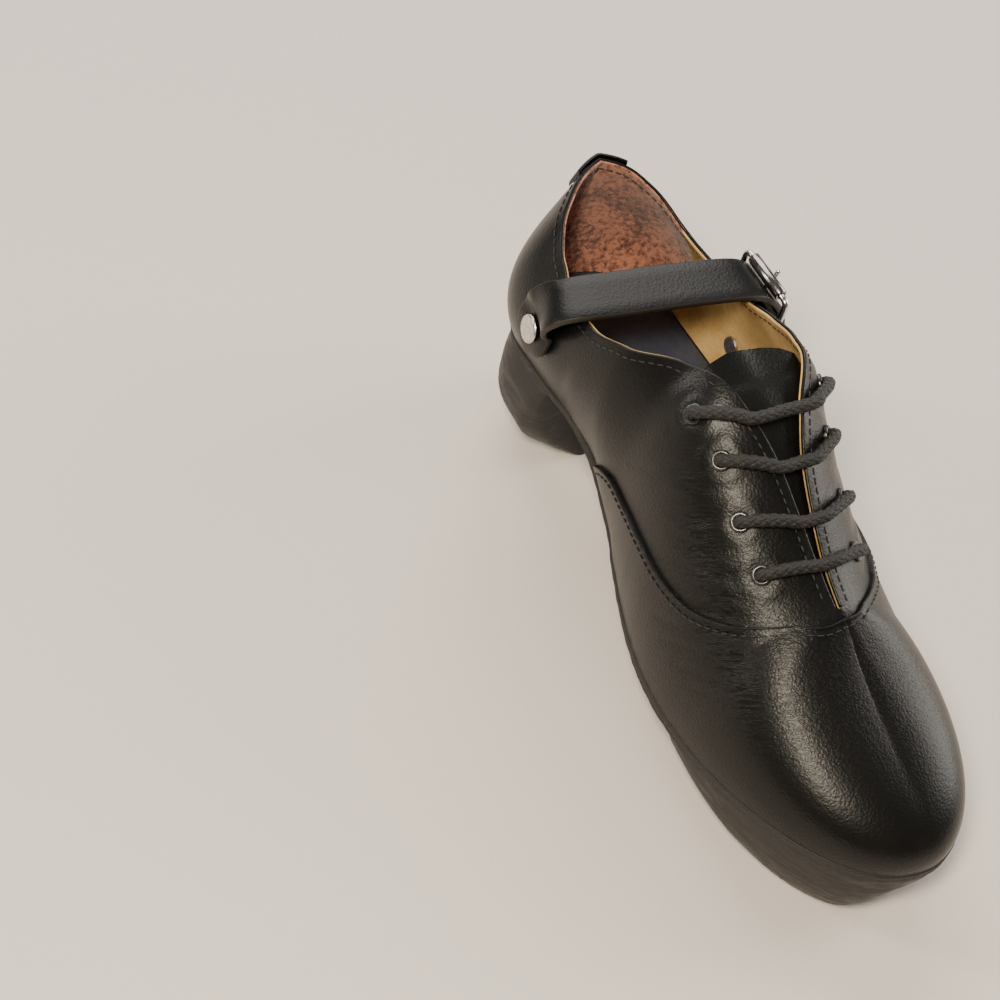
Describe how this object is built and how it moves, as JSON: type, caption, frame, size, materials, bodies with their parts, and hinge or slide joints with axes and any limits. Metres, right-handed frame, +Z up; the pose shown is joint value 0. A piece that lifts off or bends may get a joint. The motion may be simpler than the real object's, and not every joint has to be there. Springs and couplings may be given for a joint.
{
  "type": "irish dance hard shoe",
  "caption": "Left black leather dance shoe with hard tip and heel blocks, front lacing over a tongue, and a buckled instep strap.",
  "frame": {"origin": "centre of the heel's flat bottom face, on the floor", "axes": "+X towards the toe, +Y towards the outer side of the foot, +Z up"},
  "size_m": [0.253, 0.0897, 0.1106],
  "materials": {
    "black_leather": "smooth satin black leather",
    "black_sole": "rough black edge",
    "fibreglass": "matte dark fibreglass",
    "tan_insole": "matte tan leather",
    "nickel_steel": "polished nickel plate",
    "black_steel": "black plated steel",
    "black_cord": "braided cord"
  },
  "bodies": {
    "root": {"upper": "black_leather", "tongue": "black_leather", "strap_long": "black_leather", "strap_buckle": "black_leather", "back_tab": "black_leather", "sole": "black_sole", "tip": "fibreglass", "heel": "fibreglass", "insole": "tan_insole", "buckle_frame": "nickel_steel", "buckle_roller": "nickel_steel", "buckle_prong": "nickel_steel", "rivet_medial": "nickel_steel", "rivet_lateral": "nickel_steel", "eyelet_medial_1": "black_steel", "eyelet_medial_2": "black_steel", "eyelet_medial_3": "black_steel", "eyelet_medial_4": "black_steel", "eyelet_lateral_1": "black_steel", "eyelet_lateral_2": "black_steel", "eyelet_lateral_3": "black_steel", "eyelet_lateral_4": "black_steel", "lace_bar": "black_cord", "lace_crossing_1": "black_cord", "lace_crossing_2": "black_cord", "lace_crossing_3": "black_cord"}
  },
  "joints": []
}
